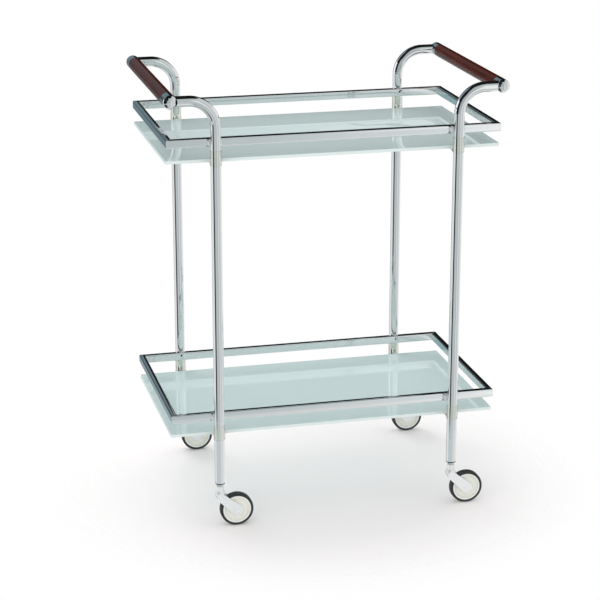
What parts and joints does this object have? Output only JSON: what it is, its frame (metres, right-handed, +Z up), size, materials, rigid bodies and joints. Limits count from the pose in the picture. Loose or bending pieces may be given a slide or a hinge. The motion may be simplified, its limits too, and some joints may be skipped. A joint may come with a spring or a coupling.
{
  "type": "bar cart",
  "caption": "Bar cart on wheels: bent chromed tube legs, wooden push grips, mitred galleries over frosted glass shelves and swivel casters.",
  "frame": {"origin": "on the floor below the middle of the cart", "axes": "+X along the cart to its right end, +Y to its back, +Z up"},
  "size_m": [0.66, 0.43, 0.85],
  "materials": {
    "chrome": "mirror-polished chrome plating",
    "stained_wood": "turned hardwood, red-brown stain, satin lacquer",
    "frosted_glass": "acid-etched, faint mint tint, polished edges",
    "clear_plastic": "clear moulded",
    "plain_steel": "zinc plated",
    "black_plastic": "moulded",
    "bush_plastic": "moulded acetal",
    "cream_plastic": "moulded, slightly translucent",
    "tyre_rubber": "satin moulded rubber"
  },
  "bodies": {
    "frame": {"leg_front_left": "chrome", "handle_ferrule_front_left": "chrome", "leg_front_right": "chrome", "handle_ferrule_front_right": "chrome", "leg_rear_left": "chrome", "handle_ferrule_rear_left": "chrome", "leg_rear_right": "chrome", "handle_ferrule_rear_right": "chrome", "handle_grip_left": "stained_wood", "handle_grip_right": "stained_wood", "upper_rail_front": "chrome", "upper_rail_rear": "chrome", "upper_rail_left": "chrome", "upper_rail_right": "chrome", "upper_glass_shelf": "frosted_glass", "upper_shelf_collar_front_left": "clear_plastic", "upper_shelf_collar_front_right": "clear_plastic", "upper_shelf_collar_rear_left": "clear_plastic", "upper_shelf_collar_rear_right": "clear_plastic", "lower_rail_front": "chrome", "lower_rail_rear": "chrome", "lower_rail_left": "chrome", "lower_rail_right": "chrome", "lower_glass_shelf": "frosted_glass", "lower_shelf_collar_front_left": "clear_plastic", "lower_shelf_collar_front_right": "clear_plastic", "lower_shelf_collar_rear_left": "clear_plastic", "lower_shelf_collar_rear_right": "clear_plastic", "shelf_pins": "plain_steel", "rail_spacers": "chrome", "rail_screws": "chrome", "rivet_nuts": "plain_steel", "leg_plugs": "black_plastic", "stem_nuts": "chrome", "caster_stem_front_left": "plain_steel", "caster_stem_front_right": "plain_steel", "caster_stem_rear_left": "plain_steel", "caster_stem_rear_right": "plain_steel"},
    "caster_front_left": {"swivel_bush_front_left": "bush_plastic", "caster_fork_front_left": "chrome", "wheel_axle_front_left": "plain_steel"},
    "wheel_front_left": {"wheel_hub_front_left": "cream_plastic", "wheel_tyre_front_left": "tyre_rubber"},
    "caster_front_right": {"swivel_bush_front_right": "bush_plastic", "caster_fork_front_right": "chrome", "wheel_axle_front_right": "plain_steel"},
    "wheel_front_right": {"wheel_hub_front_right": "cream_plastic", "wheel_tyre_front_right": "tyre_rubber"},
    "caster_rear_left": {"swivel_bush_rear_left": "bush_plastic", "caster_fork_rear_left": "chrome", "wheel_axle_rear_left": "plain_steel"},
    "wheel_rear_left": {"wheel_hub_rear_left": "cream_plastic", "wheel_tyre_rear_left": "tyre_rubber"},
    "caster_rear_right": {"swivel_bush_rear_right": "bush_plastic", "caster_fork_rear_right": "chrome", "wheel_axle_rear_right": "plain_steel"},
    "wheel_rear_right": {"wheel_hub_rear_right": "cream_plastic", "wheel_tyre_rear_right": "tyre_rubber"}
  },
  "joints": [
    {"name": "swivel_front_left", "type": "hinge", "parent": "frame", "child": "caster_front_left", "pos_m": [-0.233, -0.2025, 0.075], "axis": [0, 0, 1], "continuous": true},
    {"name": "roll_front_left", "type": "hinge", "parent": "caster_front_left", "child": "wheel_front_left", "pos_m": [-0.2014, -0.2025, 0.0325], "axis": [0, 1, 0], "continuous": true},
    {"name": "swivel_front_right", "type": "hinge", "parent": "frame", "child": "caster_front_right", "pos_m": [0.233, -0.2025, 0.075], "axis": [0, 0, 1], "continuous": true},
    {"name": "roll_front_right", "type": "hinge", "parent": "caster_front_right", "child": "wheel_front_right", "pos_m": [0.2646, -0.2025, 0.0325], "axis": [0, 1, 0], "continuous": true},
    {"name": "swivel_rear_left", "type": "hinge", "parent": "frame", "child": "caster_rear_left", "pos_m": [-0.233, 0.2025, 0.075], "axis": [0, 0, 1], "continuous": true},
    {"name": "roll_rear_left", "type": "hinge", "parent": "caster_rear_left", "child": "wheel_rear_left", "pos_m": [-0.2014, 0.2025, 0.0325], "axis": [0, 1, 0], "continuous": true},
    {"name": "swivel_rear_right", "type": "hinge", "parent": "frame", "child": "caster_rear_right", "pos_m": [0.233, 0.2025, 0.075], "axis": [0, 0, 1], "continuous": true},
    {"name": "roll_rear_right", "type": "hinge", "parent": "caster_rear_right", "child": "wheel_rear_right", "pos_m": [0.2646, 0.2025, 0.0325], "axis": [0, 1, 0], "continuous": true}
  ]
}
